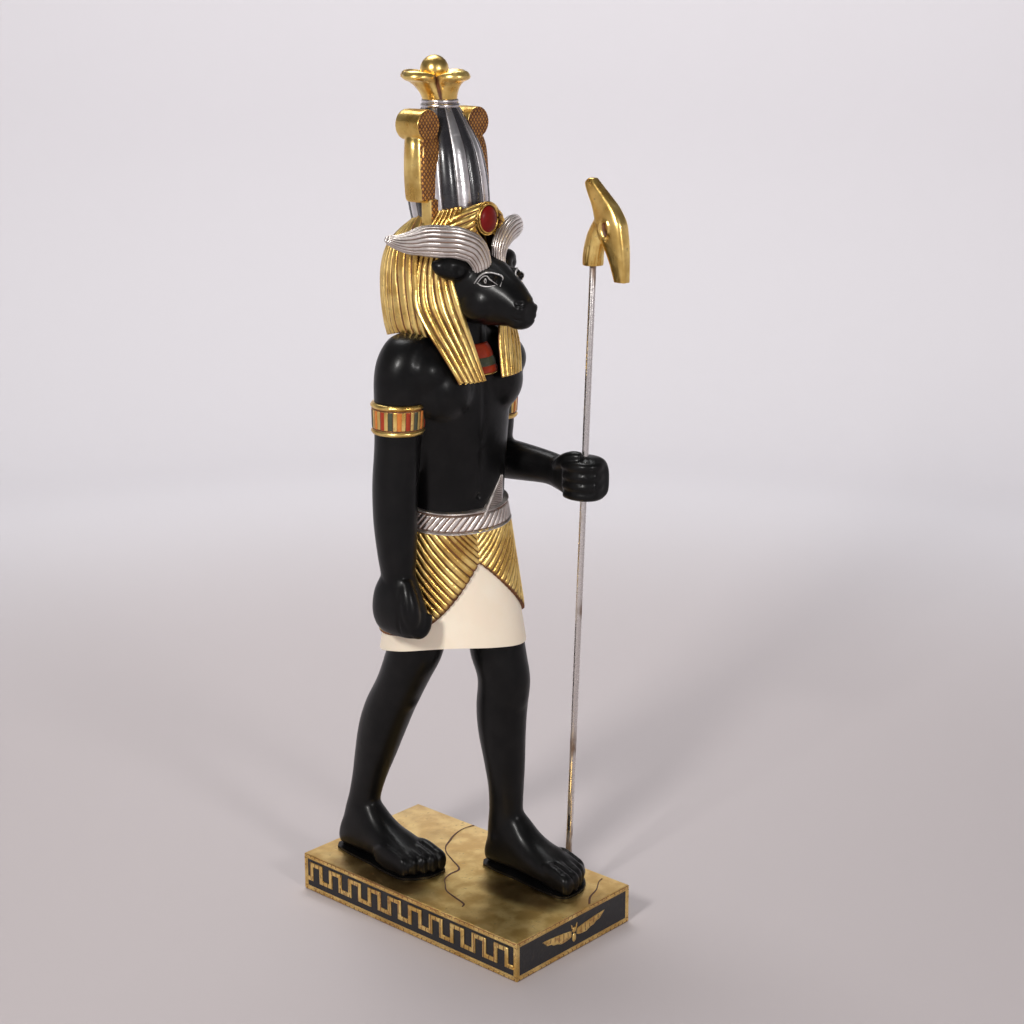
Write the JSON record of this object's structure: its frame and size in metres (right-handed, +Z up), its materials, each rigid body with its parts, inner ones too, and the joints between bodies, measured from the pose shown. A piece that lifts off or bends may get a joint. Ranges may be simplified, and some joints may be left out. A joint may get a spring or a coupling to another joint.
{
  "type": "striding ram-headed statue on a plinth",
  "caption": "Standing decorative statue of a striding ram-headed deity in a tall crown, holding a rod with an animal head, on a long low plinth.",
  "frame": {"origin": "centre of the plinth's underside", "axes": "+Z up, -Y the way the figure faces and strides, +X its left side"},
  "size_m": [0.245, 0.37, 1.0503],
  "materials": {
    "plinth_gold": "gold leaf over cast resin, worn, with black panels",
    "figure_black": "black satin lacquer with gold, silver, cream and red painted zones",
    "rod_silver": "silver leaf, mottled",
    "head_gold": "gold leaf with brown glaze in the grooves"
  },
  "bodies": {
    "root": {"plinth": "plinth_gold", "figure": "figure_black", "sceptre_rod": "rod_silver", "sceptre_head": "head_gold"}
  },
  "joints": []
}
